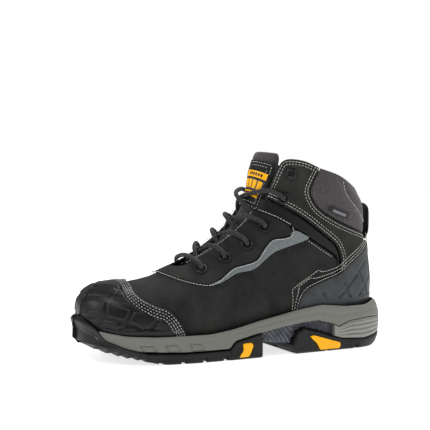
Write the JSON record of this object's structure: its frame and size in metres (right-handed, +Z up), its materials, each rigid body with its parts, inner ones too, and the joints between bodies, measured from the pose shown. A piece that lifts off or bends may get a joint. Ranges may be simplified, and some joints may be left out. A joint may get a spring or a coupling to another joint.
{
  "type": "safety boot",
  "caption": "Mid-height lace-up safety boot, left foot, with a guarded toe cap, padded collar and tongue, cup midsole and lugged two-part outsole.",
  "frame": {"origin": "on the ground under the middle of the boot's box", "axes": "+X from toe to heel, +Y to the medial side, +Z up"},
  "size_m": [0.305, 0.1138, 0.1842],
  "materials": {
    "rubber": "matte moulded rubber",
    "yellow": "satin, yellow",
    "midsole": "matte moulded foam, grey",
    "shank": "satin, ribbed",
    "steel": "pressed steel",
    "board": "fibre board",
    "footbed": "felt on foam",
    "lining": "spacer mesh",
    "foam": "mesh over foam",
    "nubuck": "nubuck, black",
    "softshell": "softshell, dark grey",
    "flex": "smooth stretch fabric, black",
    "guard": "moulded rubber with a lattice relief",
    "reflective": "grey reflective tape",
    "webbing": "woven",
    "lace": "round braid",
    "black_metal": "black lacquer"
  },
  "bodies": {
    "boot": {"outsole_forefoot": "rubber", "outsole_heel": "rubber", "lateral_forefoot_insert": "yellow", "lateral_heel_insert": "yellow", "medial_forefoot_insert": "yellow", "medial_heel_insert": "yellow", "midsole": "midsole", "heel_cradle": "midsole", "arch_shank": "shank", "steel_toe_cap": "steel", "puncture_plate": "steel", "insole_board": "board", "heel_stiffener": "board", "footbed": "footbed", "lining": "lining", "lateral_gusset": "lining", "medial_gusset": "lining", "collar_foam": "foam", "vamp": "nubuck", "eyestay": "nubuck", "lateral_cuff": "nubuck", "medial_cuff": "nubuck", "collar_panel": "softshell", "lateral_flex_panel": "flex", "medial_flex_panel": "flex", "toe_guard": "guard", "heel_guard": "guard", "lateral_reflective_strip": "reflective", "medial_reflective_strip": "reflective", "pull_loop": "webbing", "lateral_side_tab": "webbing", "medial_side_tab": "webbing", "lateral_aglet": "webbing", "medial_aglet": "webbing", "lace": "lace", "lateral_lace_end": "lace", "medial_lace_end": "lace", "lateral_eyelet_1": "black_metal", "lateral_eyelet_2": "black_metal", "lateral_eyelet_3": "black_metal", "lateral_eyelet_4": "black_metal", "lateral_eyelet_5": "black_metal", "lateral_eyelet_6": "black_metal", "medial_eyelet_1": "black_metal", "medial_eyelet_2": "black_metal", "medial_eyelet_3": "black_metal", "medial_eyelet_4": "black_metal", "medial_eyelet_5": "black_metal", "medial_eyelet_6": "black_metal"},
    "tongue": {"tongue_pad": "softshell", "tongue_facing": "nubuck", "tongue_label": "yellow"}
  },
  "joints": [
    {"name": "tongue_tilt", "type": "hinge", "parent": "boot", "child": "tongue", "pos_m": [-0.055, 0.00195, 0.072], "axis": [0, -1, 0], "range_deg": [-3, 8], "stiffness_Nm_per_rad": 0.3, "deforming": ["lace"]}
  ]
}
